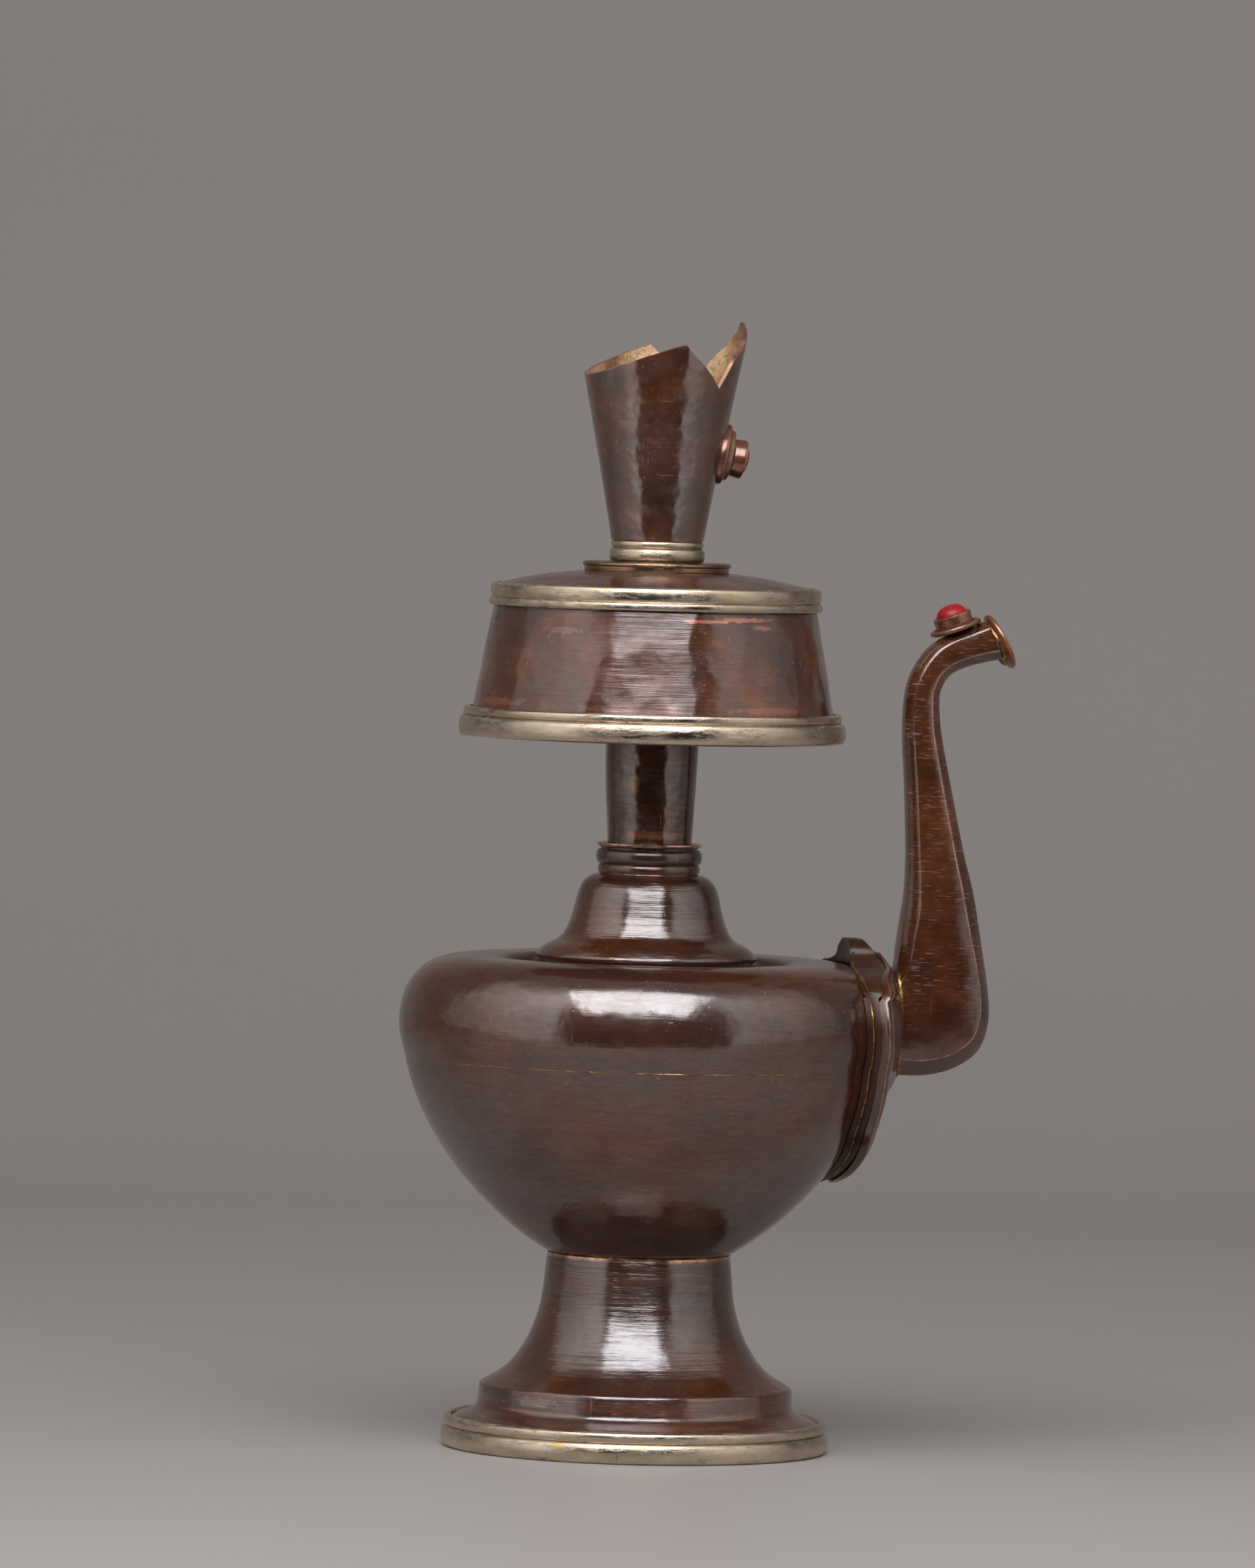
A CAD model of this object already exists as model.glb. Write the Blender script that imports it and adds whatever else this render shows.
# Copper ritual water vase: looks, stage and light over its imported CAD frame.
import math

import bpy
import numpy as np
from mathutils import Matrix, Vector


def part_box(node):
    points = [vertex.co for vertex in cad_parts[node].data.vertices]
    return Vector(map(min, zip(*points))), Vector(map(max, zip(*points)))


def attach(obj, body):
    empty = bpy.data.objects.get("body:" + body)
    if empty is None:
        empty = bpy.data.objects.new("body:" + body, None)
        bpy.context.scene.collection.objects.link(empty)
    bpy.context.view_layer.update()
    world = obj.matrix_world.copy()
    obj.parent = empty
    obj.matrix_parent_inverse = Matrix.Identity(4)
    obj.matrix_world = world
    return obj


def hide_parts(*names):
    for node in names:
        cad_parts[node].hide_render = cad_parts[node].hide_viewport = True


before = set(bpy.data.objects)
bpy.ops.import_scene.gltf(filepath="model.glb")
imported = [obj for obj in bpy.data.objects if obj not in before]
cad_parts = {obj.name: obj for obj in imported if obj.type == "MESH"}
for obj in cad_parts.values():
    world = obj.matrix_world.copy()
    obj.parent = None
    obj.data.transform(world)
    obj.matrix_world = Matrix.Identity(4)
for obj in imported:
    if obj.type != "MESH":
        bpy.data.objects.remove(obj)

bl_info = {
    "name": "Copper Ritual Vase",
    "version": (1, 0, 0),
    "blender": (4, 5, 0),
    "location": "3D View > Sidebar > Vase",
    "description": "Models a copper ritual water vase over its CAD frame, with its stage and light",
    "category": "Add Mesh",
}

MM = 0.001
TAU = 2 * math.pi
TUBE_LOW, TUBE_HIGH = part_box("neck_tube")
AXIS = (TUBE_LOW.x + TUBE_HIGH.x) / 2
AXIS_MM = AXIS / MM

# Single sizes: lengths in millimetres, and heights from the table
BELLY = 45.7
BODY_WALL = 1.2
TUBE_WALL = 0.8
SPOUT_WALL = 0.9
FOOT_JOINT = 36.42
CUP_FOOT = 169.1
CUP_TALL = 40.9
CUP_FOOT_RADIUS = 8.6
CUP_SPREAD = 7.8
ROOT_HEIGHT = 79.9
SHIELD_FOOT = 50
SHIELD_TALL = 46
SHIELD_SPREAD = math.radians(39)
THIN_BEAD = 0.22

# Steps that the body and the canopy's wall have more than the other turned pieces
EXTRA_SIDES = 48

# Outlines are (radius, height) in millimetres from the vase's own axis and the table.
FOOT_STEM = [(20.5, 20), (17.22, 27), (17.86, 29.74), (17, 36.35)]
BOWL_SWEEP = [(16.7, 36.45), (28.2, 42.7), (41.56, 57.3), (44.4, 72.4)]
BELLY_SWEEP = [(44.4, 72.4), (44.95, 74.2), (BELLY, 76.2), (BELLY, 78.8)]
SHOULDER_SWEEP = [(BELLY, 78.8), (BELLY, 83.9), (43.7, 91.2), (34, 91.4)]
BELL_FLARE = [(20.25, 92.3), (17.1, 96.1), (15.5, 92.1), (13.3, 102.6)]
BELL_DOME = [(13.3, 102.6), (12.9, 104.4), (12, 106.95), (9.1, 107.1)]

# The spout's two guide lines, as (distance from the axis, height), and half the section's depth
SPOUT_NEAR = [
    (47.6, 90.27), (47.69, 91.2), (47.79, 92.3), (47.88, 93.58), (48.07, 95.19), (48.35, 97.57),
    (48.82, 100.96), (49.19, 104.36), (49.28, 112), (48.63, 124.74), (47.97, 134.08), (48.1, 140.53),
    (48.8, 144.26), (50.4, 147.57), (52.59, 150.38), (55.6, 152.5), (59.19, 153.94), (62.6, 155.3),
]
SPOUT_FAR = [
    (47.6, 70.4), (53.49, 70.4), (59.19, 71.93), (63.5, 75.15), (65.27, 80.16), (65.18, 85.51),
    (63.87, 93.49), (61.91, 104.36), (59.9, 112), (57.04, 124.74), (55.08, 134.08), (54.5, 140.53),
    (55.0, 142.99), (56.2, 144.94), (57.9, 146.13), (60.3, 147.06), (63.31, 147.83), (66.3, 148.42),
]
SPOUT_HALF = [(5.5,)] * 7 + [(4.85,), (4.2,), (3.9,), (3.6,)] + [(3.3,)] * 7

# The shield's outline up one side, as shares of its half width and of its height
SHIELD_SIDE = [
    (0, 0), (0.2, 0.03), (0.36, 0.07), (0.56, 0.13), (0.77, 0.22), (0.91, 0.4), (0.97, 0.54),
    (1, 0.66), (0.97, 0.76), (0.89, 0.83), (0.74, 0.868), (0.52, 0.888), (0.33, 0.905), (0.225, 0.932),
    (0.19, 0.965), (0.12, 0.992), (0.06, 1), (0, 1),
]


# Sizes and colours


def length(name, about, default, low=0.0, high=10.0):
    return bpy.props.FloatProperty(
        name=name, description=about, default=default, min=low, max=high, unit="LENGTH", subtype="DISTANCE")


def tint(name, about, default):
    return bpy.props.FloatVectorProperty(
        name=name, description=about, default=default, min=0, max=1, size=3, subtype="COLOR")


def angle(name, about, degrees):
    return bpy.props.FloatProperty(
        name=name, description=about, default=math.radians(degrees), unit="ROTATION", subtype="ANGLE")


class VaseSizes(bpy.types.PropertyGroup):
    """Sizes that a maker would change"""

    sheet: length("Copper sheet", "Thickness of the spun foot", 0.001, 0.0004, 0.002)
    cup_sheet: length("Cup sheet", "Thickness of the rolled filling cup", 0.0008, 0.0004, 0.0015)
    seam_bead: length("Seam bead", "Radius of the thin line of braze on the belly", 0.00013, 0.00005, 0.0006)
    root_bead: length("Root bead", "Size of the braze round the spout's root", 0.0008, 0.0003, 0.002)
    shield_rim: length("Shield rim", "How far the shield's rim stands off the body", 0.0048, 0.003, 0.006)
    stone_radius: length("Stone radius", "Radius of the domed stones", 0.00295, 0.002, 0.0032)
    sides: bpy.props.IntProperty(
        name="Sides", description="Steps round each turned piece", default=144, min=24, max=256)


class VaseColours(bpy.types.PropertyGroup):
    """Colours of the finishes"""

    patina: tint("Patina", "Deep brown of the oxidised copper", (0.05, 0.0135, 0.0045))
    warm: tint("Warm patina", "Orange brown where the patina is thin", (0.12, 0.035, 0.0105))
    plum: tint("Plum patina", "Purple grey where the patina is thick", (0.038, 0.017, 0.014))
    bare: tint("Bare copper", "Pink copper on rubbed edges", (0.75, 0.4, 0.3))
    white_metal: tint("White metal", "Warm silver of the rims", (0.6, 0.49, 0.37))
    braze: tint("Braze", "Gold of the brazed joints", (0.42, 0.26, 0.09))
    coral: tint("Coral", "Red of the stones", (0.38, 0.006, 0.008))


class StageSettings(bpy.types.PropertyGroup):
    """Camera, floor and lamps"""

    turn: angle("Camera turn", "Angle of the camera round the vase", -12.5)
    distance: length("Camera distance", "From the vase's axis to the lens", 2.2)
    height: length("Camera height", "Height of the lens over the table", 0.198)
    lens: bpy.props.FloatProperty(
        name="Lens", description="Focal length in millimetres on a 36 mm long side", default=271.8)
    roll: angle("Camera roll", "Tilt of the camera about its own line of sight", 1.5)
    floor: tint("Floor", "Colour of the floor and backdrop", (0.32, 0.293, 0.278))
    softbox: bpy.props.FloatProperty(
        name="Softbox power", description="Power of the soft lamp in front", default=12.2)
    room: bpy.props.FloatProperty(
        name="Room light", description="Strength of the light from all round", default=1.0)


# Modelling tools


def clear_selection():
    if bpy.context.object and bpy.context.object.mode != "OBJECT":
        bpy.ops.object.mode_set(mode="OBJECT")
    bpy.ops.object.select_all(action="DESELECT")


def chosen(obj):
    """Makes a piece the only selected one, and the active one."""
    clear_selection()
    obj.select_set(True)
    bpy.context.view_layer.objects.active = obj


def bezier(points, steps):
    """Points along a cubic Bezier curve with four control points."""
    a, b, c, d = (np.array(p, float) for p in points)
    return [tuple((1 - t) ** 3 * a + 3 * (1 - t) ** 2 * t * b + 3 * (1 - t) * t * t * c + t ** 3 * d)
            for t in (i / steps for i in range(steps + 1))]


def bead(base, crown, low, high, steps=10):
    """A round bead that swells from its base radius to its crown and back."""
    handle = base + (crown - base) / 0.75
    return bezier([(base, low), (handle, low), (handle, high), (base, high)], steps)


def joined(*runs):
    """Runs of points put end to end, without doubled points."""
    out = []
    for run in runs:
        for point in run:
            if not out or math.dist(out[-1], point) > 1e-4:
                out.append(point)
    return out


def walled(outline, wall):
    """A closed outline: the given one and a second one inside it by the wall, in millimetres."""
    points = np.array(outline, float)
    runs = np.diff(points, axis=0)
    normals = np.stack([runs[:, 1], -runs[:, 0]], 1) / np.linalg.norm(runs, axis=1)[:, None]
    corner = np.vstack([normals[:1], normals[:-1] + normals[1:], normals[-1:]])
    corner = corner / np.linalg.norm(corner, axis=1)[:, None]
    following = np.vstack([normals, normals[-1:]])
    cosine = np.clip(np.sum(corner * following, axis=1), 0.5, 1)[:, None]
    inside = points - corner * wall / cosine
    inside[:, 0] = np.maximum(inside[:, 0], 0)
    return list(map(tuple, points)) + list(map(tuple, inside[::-1]))


def closed_up():
    """Merges doubled points of the active piece and turns its faces outwards."""
    bpy.ops.object.mode_set(mode="EDIT")
    bpy.ops.mesh.select_all(action="SELECT")
    bpy.ops.mesh.remove_doubles(threshold=1e-7)
    bpy.ops.mesh.normals_make_consistent(inside=False)
    bpy.ops.object.mode_set(mode="OBJECT")


def turned(name, outline, sides, axis_ends=False):
    """A piece turned about the vase's axis. The outline is drawn by extruding one point, and spun."""
    clear_selection()
    first = outline[0]
    bpy.ops.mesh.primitive_circle_add(
        vertices=3, radius=MM, location=(AXIS + first[0] * MM, 0, first[1] * MM))
    obj = bpy.context.object
    obj.name = obj.data.name = name
    bpy.ops.object.mode_set(mode="EDIT")
    bpy.ops.mesh.select_all(action="SELECT")
    bpy.ops.mesh.merge(type="CENTER")
    path = outline[1:] if axis_ends else outline[1:] + [first]
    for here, there in zip(outline, path):
        step = ((there[0] - here[0]) * MM, 0, (there[1] - here[1]) * MM)
        bpy.ops.mesh.extrude_vertices_move(TRANSFORM_OT_translate={"value": step})
    bpy.ops.mesh.select_all(action="SELECT")
    bpy.ops.mesh.spin(steps=sides, angle=TAU, center=(AXIS, 0, 0), axis=(0, 0, 1))
    closed_up()
    bpy.ops.object.transform_apply(location=True, rotation=True, scale=True)
    return obj


def closed_grid(rows):
    """The rows as an array whose last row and last column join the first."""
    rows = np.array(rows, float)
    rows = np.concatenate([rows, rows[:1]])
    return np.concatenate([rows, rows[:, :1]], axis=1)


def skinned(name, rings, marks=None):
    """A grid whose rows are wrapped round as closed rings of points. The last row joins the first."""
    rings = closed_grid(rings)
    rows, columns = rings.shape[:2]
    clear_selection()
    bpy.ops.mesh.primitive_grid_add(x_subdivisions=columns - 1, y_subdivisions=rows - 1, size=1)
    obj = bpy.context.object
    obj.name = obj.data.name = name
    mesh = obj.data
    place = np.empty(len(mesh.vertices) * 3)
    mesh.vertices.foreach_get("co", place)
    place = place.reshape(-1, 3)
    column = np.rint((place[:, 0] + 0.5) * (columns - 1)).astype(int)
    row = np.rint((place[:, 1] + 0.5) * (rows - 1)).astype(int)
    mesh.vertices.foreach_set("co", (rings[row, column] * MM).ravel())
    if marks is not None:
        layer = mesh.attributes.new("wear", "FLOAT", "POINT")
        layer.data.foreach_set("value", closed_grid(marks)[row, column].astype(np.float32))
    mesh.update()
    closed_up()
    return obj


def mark_edges(obj, sharp):
    """Stores a mark from 0 to 1 on points at convex edges past the sharp angle, for rubbed metal."""
    mesh = obj.data
    centre = np.empty(len(mesh.polygons) * 3)
    normal = np.empty(len(mesh.polygons) * 3)
    mesh.polygons.foreach_get("center", centre)
    mesh.polygons.foreach_get("normal", normal)
    centre = centre.reshape(-1, 3)
    normal = normal.reshape(-1, 3)
    faces = {}
    for polygon in mesh.polygons:
        for key in polygon.edge_keys:
            faces.setdefault(key, []).append(polygon.index)
    value = np.zeros(len(mesh.vertices), np.float32)
    for key, pair in faces.items():
        if len(pair) != 2:
            continue
        a, b = pair
        bend = math.acos(max(-1.0, min(1.0, float(normal[a] @ normal[b]))))
        if bend > sharp and (centre[b] - centre[a]) @ normal[a] < 0:
            for index in key:
                value[index] = max(value[index], min(1.0, bend / 1.2))
    layer = mesh.attributes.new("wear", "FLOAT", "POINT")
    layer.data.foreach_set("value", value)


def softened(obj, width):
    """Rounds the sharp edges with a bevel."""
    chosen(obj)
    edge = obj.modifiers.new("Softened edges", "BEVEL")
    edge.width = width * MM
    edge.segments = 2
    edge.limit_method = "ANGLE"
    edge.angle_limit = 0.5
    bpy.ops.object.modifier_apply(modifier=edge.name)


def waved(obj, scale, strength):
    """Small hand-made unevenness of the surface, by a displacement that follows a cloud."""
    chosen(obj)
    cloud = bpy.data.textures.new(obj.name + "_unevenness", "CLOUDS")
    cloud.noise_scale = scale * MM
    move = obj.modifiers.new("Unevenness", "DISPLACE")
    move.texture = cloud
    move.strength = strength * MM
    move.mid_level = 0.5
    move.texture_coords = "LOCAL"
    bpy.ops.object.modifier_apply(modifier=move.name)


def finished(obj, finish, nodes=(), smooth=32):
    """Smooth shading, material, body and CAD nodes of a finished piece."""
    chosen(obj)
    bpy.ops.object.shade_smooth_by_angle(angle=math.radians(smooth))
    if not obj.data.materials:
        obj.data.materials.append(material(finish))
    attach(obj, "root")
    if nodes:
        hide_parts(*nodes)
    return obj


def turned_piece(name, outline, finish, nodes, smooth=32, sides=None, axis_ends=False,
                 sharp=None, wave=None):
    """A turned piece with its rubbed edges, its unevenness as (scale, strength), and its finish."""
    obj = turned(name, outline, sides or bpy.context.scene.vase_sizes.sides, axis_ends)
    if sharp:
        mark_edges(obj, sharp)
    if wave:
        waved(obj, *wave)
    return finished(obj, finish, nodes, smooth)


def metal_ring(name, outline, node, wave, finish="White metal", sides=None):
    return turned_piece(name, outline, finish, [node], 40, sides, wave=wave)


def wire(name, points, radius, bevel=1):
    """A closed round bead along points in millimetres, measured from the vase's axis."""
    curve = bpy.data.curves.new(name, "CURVE")
    curve.dimensions = "3D"
    curve.bevel_depth = radius
    curve.bevel_resolution = bevel
    spline = curve.splines.new("POLY")
    spline.points.add(len(points) - 1)
    for slot, point in zip(spline.points, points):
        slot.co = (AXIS + point[0] * MM, point[1] * MM, point[2] * MM, 1)
    spline.use_cyclic_u = True
    obj = bpy.data.objects.new(name, curve)
    bpy.context.collection.objects.link(obj)
    chosen(obj)
    bpy.ops.object.convert(target="MESH")
    closed_up()
    return bpy.context.object


def brazed(name, points, radius, wave, place=None):
    """A bead of braze with its unevenness as (scale, strength). A place moves it, as lean does."""
    obj = wire(name, points, radius)
    waved(obj, *wave)
    if place:
        lean(obj, *place)
    return finished(obj, "Gold braze", smooth=60)


def lean(obj, out, centre):
    """Moves a piece turned on the vase's axis to a centre in its middle plane, its own +Z along out."""
    across = Vector((out.y, -out.x))
    turn = Matrix(((across.x, 0, out.x), (0, 1, 0), (across.y, 0, out.y))).to_4x4()
    place = Matrix.Translation((AXIS + centre.x * MM, 0, centre.y * MM))
    chosen(obj)
    obj.matrix_world = place @ turn @ Matrix.Translation((-AXIS, 0, 0))
    bpy.ops.object.transform_apply(location=True, rotation=True, scale=True)


def ring_points(radius, height, steps=120):
    turns = [TAU * i / steps for i in range(steps)]
    return [(radius * math.cos(turn), radius * math.sin(turn), height) for turn in turns]


def curve_through(points, t):
    """A point on a smooth curve through points, at a share of the way."""
    place = t * (len(points) - 1)
    i = min(int(place), len(points) - 2)
    w = place - i
    around = (points[max(i - 1, 0)], points[i], points[i + 1], points[min(i + 2, len(points) - 1)])
    out = []
    for a, b, c, d in zip(*around):
        v0 = (c - a) / 2
        v1 = (d - b) / 2
        out.append((2 * b - 2 * c + v0 + v1) * w ** 3 + (-3 * b + 3 * c - 2 * v0 - v1) * w * w + v0 * w + b)
    return tuple(out)


# Finishes


class Wiring:
    """Short forms for adding and joining nodes in one tree."""

    def __init__(self, tree):
        self.tree = tree

    def join(self, source, target):
        self.tree.links.new(source, target)

    def put(self, node, socket, value):
        """Joins another node's output to a socket, or sets the socket's own value."""
        if isinstance(value, bpy.types.NodeSocket):
            self.join(value, node.inputs[socket])
        else:
            node.inputs[socket].default_value = value

    def fill(self, node, **values):
        """Puts values into the sockets of those names, written with underscores for spaces."""
        for label, value in values.items():
            self.put(node, label.replace("_", " "), value)
        return node

    def add(self, kind, *inputs, **values):
        """A new node, with its first inputs in order. Capital names are sockets, small ones are settings."""
        node = self.tree.nodes.new("ShaderNode" + kind)
        for key, value in values.items():
            if key[0].islower():
                setattr(node, key, value)
        for socket, value in enumerate(inputs):
            self.put(node, socket, value)
        return self.fill(node, **{key: value for key, value in values.items() if key[0].isupper()})

    def maths(self, operation, *inputs, clamp=False):
        return self.add("Math", *inputs, operation=operation, use_clamp=clamp).outputs[0]

    def times(self, a, b, clamp=False):
        return self.maths("MULTIPLY", a, b, clamp=clamp)

    def plus(self, a, b, clamp=False):
        return self.maths("ADD", a, b, clamp=clamp)

    def ramp(self, value, stops):
        """A black and white or coloured ramp from (place, colour or level) stops."""
        node = self.add("ValToRGB", value)
        while len(node.color_ramp.elements) < len(stops):
            node.color_ramp.elements.new(0.5)
        for element, (place, level) in zip(node.color_ramp.elements, stops):
            element.position = place
            element.color = (level, level, level, 1) if isinstance(level, (int, float)) else (*level, 1)
        return node.outputs[0]

    def rise(self, value, low, high):
        """A mask that is 0 below the low value and 1 above the high one."""
        return self.ramp(value, [(low, 0.0), (high, 1.0)])

    def mix(self, factor, a, b, blend="MIX"):
        node = self.add("Mix", factor, data_type="RGBA", blend_type=blend)
        for socket, value in ((6, a), (7, b)):
            self.put(node, socket, value if isinstance(value, bpy.types.NodeSocket) else (*value, 1))
        return node.outputs[2]

    def noise(self, vector, scale, detail=4.0, roughness=0.55, distortion=0.0):
        node = self.add("TexNoise", Vector=vector, Scale=scale, Detail=detail, Roughness=roughness,
                        Distortion=distortion)
        return node.outputs[0]

    def stretched(self, vector, scale=(1, 1, 1), turn=(0, 0, 0), move=(0, 0, 0)):
        return self.add("Mapping", vector, Scale=scale, Rotation=turn, Location=move).outputs[0]

    def vector(self, operation, *inputs, **values):
        return self.add("VectorMath", *inputs, operation=operation, **values).outputs

    def effect(self, name, **values):
        """One of the shared groups, which is made the first time that it is asked for."""
        node = self.tree.nodes.new("ShaderNodeGroup")
        node.node_tree = bpy.data.node_groups.get(name) or GROUPS[name](name)
        return self.fill(node, **values)


def new_group(name, inputs, outputs):
    """A group with a vector and more (label, kind, value) inputs: its wiring, its inputs and its end."""
    group = bpy.data.node_groups.new(name, "ShaderNodeTree")
    for label, kind, value in [("Vector", "Vector", None), *inputs]:
        socket = group.interface.new_socket(name=label, in_out="INPUT", socket_type="NodeSocket" + kind)
        if value is not None:
            socket.default_value = value
    for label, kind in outputs:
        group.interface.new_socket(name=label, in_out="OUTPUT", socket_type="NodeSocket" + kind)
    return Wiring(group), group.nodes.new("NodeGroupInput").outputs, group.nodes.new("NodeGroupOutput")


def ended(w, end, *results):
    """Joins a group's results to its outputs."""
    for result, socket in zip(results, end.inputs):
        w.join(result, socket)
    return w.tree


def mottle_group(name):
    """Cloudy patina: warm, deep and plum patches over each other."""
    w, given, end = new_group(name, [
        ("Size", "Float", 90.0), ("Warm amount", "Float", 0.5), ("Plum amount", "Float", 0.4),
        ("Deep", "Color", None), ("Warm", "Color", None), ("Plum", "Color", None),
    ], [("Color", "Color"), ("Mask", "Float")])
    vector = given["Vector"]
    size = given["Size"]
    broad = w.noise(vector, size, 5, 0.6, 0.4)
    fine = w.noise(vector, w.times(size, 7.0), 6, 0.7)
    cloud = w.plus(w.times(broad, 0.75), w.times(fine, 0.25))
    warm = w.times(w.rise(cloud, 0.42, 0.6), given["Warm amount"], True)
    other = w.noise(w.stretched(vector, move=(0.31, 0.17, 0.05)), w.times(size, 0.7), 4, 0.55)
    plum = w.times(w.rise(other, 0.42, 0.62), given["Plum amount"], True)
    colour = w.mix(plum, w.mix(warm, given["Deep"], given["Warm"]), given["Plum"])
    return ended(w, end, colour, cloud)


def turning_group(name):
    """Fine rings left by spinning and polishing, which fade in and out, and the chatter of the tool."""
    w, given, end = new_group(name, [("Lines per metre", "Float", 900.0)],
                              [("Height", "Float"), ("Chatter", "Float")])
    vector = given["Vector"]
    lines = given["Lines per metre"]
    line = w.noise(w.stretched(vector, (0.045, 0.045, 1)), lines, 4, 0.65)
    patch = w.ramp(w.noise(vector, 120.0, 2), [(0.35, 0.4), (0.65, 1.0)])
    chatter = w.noise(w.stretched(vector, (0.3, 0.3, 0.5)), lines, 2, 0.5)
    return ended(w, end, w.times(line, patch), chatter)


def hammer_group(name):
    """Shallow dishes left by a planishing hammer, a little taller than wide."""
    w, given, end = new_group(name, [("Marks per metre", "Float", 165.0)], [("Height", "Float")])
    vector = given["Vector"]
    wander = w.add("TexNoise", Vector=vector, Scale=90.0).outputs["Color"]
    shift = w.vector("SCALE", wander, Scale=0.004)[0]
    bent = w.vector("ADD", w.stretched(vector, (1, 1, 0.75)), shift)[0]
    cell = w.add("TexVoronoi", feature="SMOOTH_F1", Vector=bent, Scale=given["Marks per metre"],
                 Smoothness=0.35)
    return ended(w, end, w.maths("POWER", cell.outputs["Distance"], 2.0))


def scuff_group(name):
    """Thin scratches and small dings."""
    w, given, end = new_group(name, [("Amount", "Float", 0.5)], [("Height", "Float"), ("Mask", "Float")])
    vector = given["Vector"]
    cell = w.add("TexVoronoi", feature="F1", Vector=vector, Scale=420.0)
    ding = w.ramp(cell.outputs["Distance"], [(0.06, 1.0), (0.11, 0.0)])
    total = w.times(ding, w.rise(w.noise(vector, 160.0, 1), 0.58, 0.64))
    for turn, scale in (((0.3, 0.2, 0.5), (2300, 130, 2300)), ((0.9, -0.4, 0.1), (2200, 2200, 90)),
                        ((-0.5, 0.8, 1.1), (110, 2400, 2400))):
        line = w.noise(w.stretched(vector, scale, turn), 1.0, 1, 0.5)
        where = w.noise(w.stretched(vector, (70, 70, 70), turn, (0.2, 0.1, 0.3)), 1.0, 1)
        total = w.plus(total, w.times(w.rise(line, 0.7, 0.76), w.rise(where, 0.5, 0.62)), True)
    total = w.times(total, given["Amount"], True)
    return ended(w, end, w.times(total, -1.0), total)


def file_group(name):
    """Short marks of a file, across a piece that stands up along +Z."""
    w, given, end = new_group(name, [("Marks per metre", "Float", 5000.0)],
                              [("Height", "Float"), ("Mask", "Float")])
    vector = given["Vector"]
    line = w.noise(w.stretched(vector, (0.065, 0.065, 1), (0, 0.3, 0)), given["Marks per metre"], 2, 0.6, 0.4)
    patch = w.ramp(w.noise(vector, 110.0, 3, 0.6), [(0.4, 0.1), (0.62, 1.0)])
    patch = w.times(patch, w.rise(w.add("SeparateXYZ", vector).outputs[2], 0.078, 0.086))
    return ended(w, end, w.times(line, patch), w.times(w.rise(line, 0.6, 0.7), patch))


def rubbed_group(name):
    """Edges rubbed bright, from the mark stored on the piece and broken up by noise."""
    w, given, end = new_group(name, [("Mark", "Float", 0.0), ("Amount", "Float", 1.0)], [("Mask", "Float")])
    broken = w.ramp(w.noise(given["Vector"], 500.0, 4, 0.6), [(0.3, 0.35), (0.6, 1.0)])
    mark = w.times(w.times(given["Mark"], given["Amount"]), broken, True)
    return ended(w, end, w.rise(mark, 0.25, 0.8))


def stain_group(name):
    """A patch with ragged edges at one place."""
    w, given, end = new_group(name, [
        ("Centre", "Vector", None), ("Size", "Vector", (0.001, 0.001, 0.001)), ("Ragged", "Float", 0.5),
    ], [("Mask", "Float")])
    away = w.vector("SUBTRACT", given["Vector"], given["Centre"])[0]
    share = w.vector("DIVIDE", away, given["Size"])[0]
    grain = w.maths("SUBTRACT", w.noise(given["Vector"], 650.0, 5, 0.65), 0.5)
    ragged = w.times(grain, w.times(given["Ragged"], 3.0))
    reach = w.plus(w.vector("LENGTH", share)["Value"], ragged)
    return ended(w, end, w.ramp(reach, [(0.6, 1.0), (1.0, 0.0)]))


GROUPS = {"Mottled patina": mottle_group, "Turning lines": turning_group, "Hammer marks": hammer_group,
          "Scuffs": scuff_group, "File marks": file_group, "Rubbed edges": rubbed_group, "Stain": stain_group}


def base_material(name):
    """A new material, its wiring, its coated shader and places measured from the vase's axis."""
    made = bpy.data.materials.new(name)
    made.use_nodes = True
    w = Wiring(made.node_tree)
    place = w.stretched(w.add("TexCoord").outputs["Object"], move=(-AXIS, 0, 0))
    return made, w, made.node_tree.nodes["Principled BSDF"], place


def bumped(w, shader, layers):
    """Bump nodes one after another, each with its height and depth in millimetres."""
    normal = None
    for height, depth in layers:
        node = w.add("Bump", Distance=depth * MM, Strength=1.0, Height=height)
        if normal is not None:
            w.join(normal, node.inputs["Normal"])
        normal = node.outputs[0]
    w.join(normal, shader.inputs["Normal"])


def spot(radius, turn, height):
    """A place on a turned piece, from the vase's axis: degrees to the right of the camera's side."""
    around = bpy.context.scene.vase_stage.turn + math.radians(turn)
    return (radius * math.sin(around) * MM, -radius * math.cos(around) * MM, height * MM)


def stained(w, place, colour, stains):
    """Lays stains over a colour: (radius, turn, height), (width, tall), ragged, stain's colour, amount."""
    for centre, (width, tall), ragged, shade, amount in stains:
        size = (width * MM, width * MM, tall * MM)
        patch = w.effect("Stain", Vector=place, Centre=spot(*centre), Size=size, Ragged=ragged)
        colour = w.mix(w.times(patch.outputs[0], amount), colour, shade)
    return colour


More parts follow.
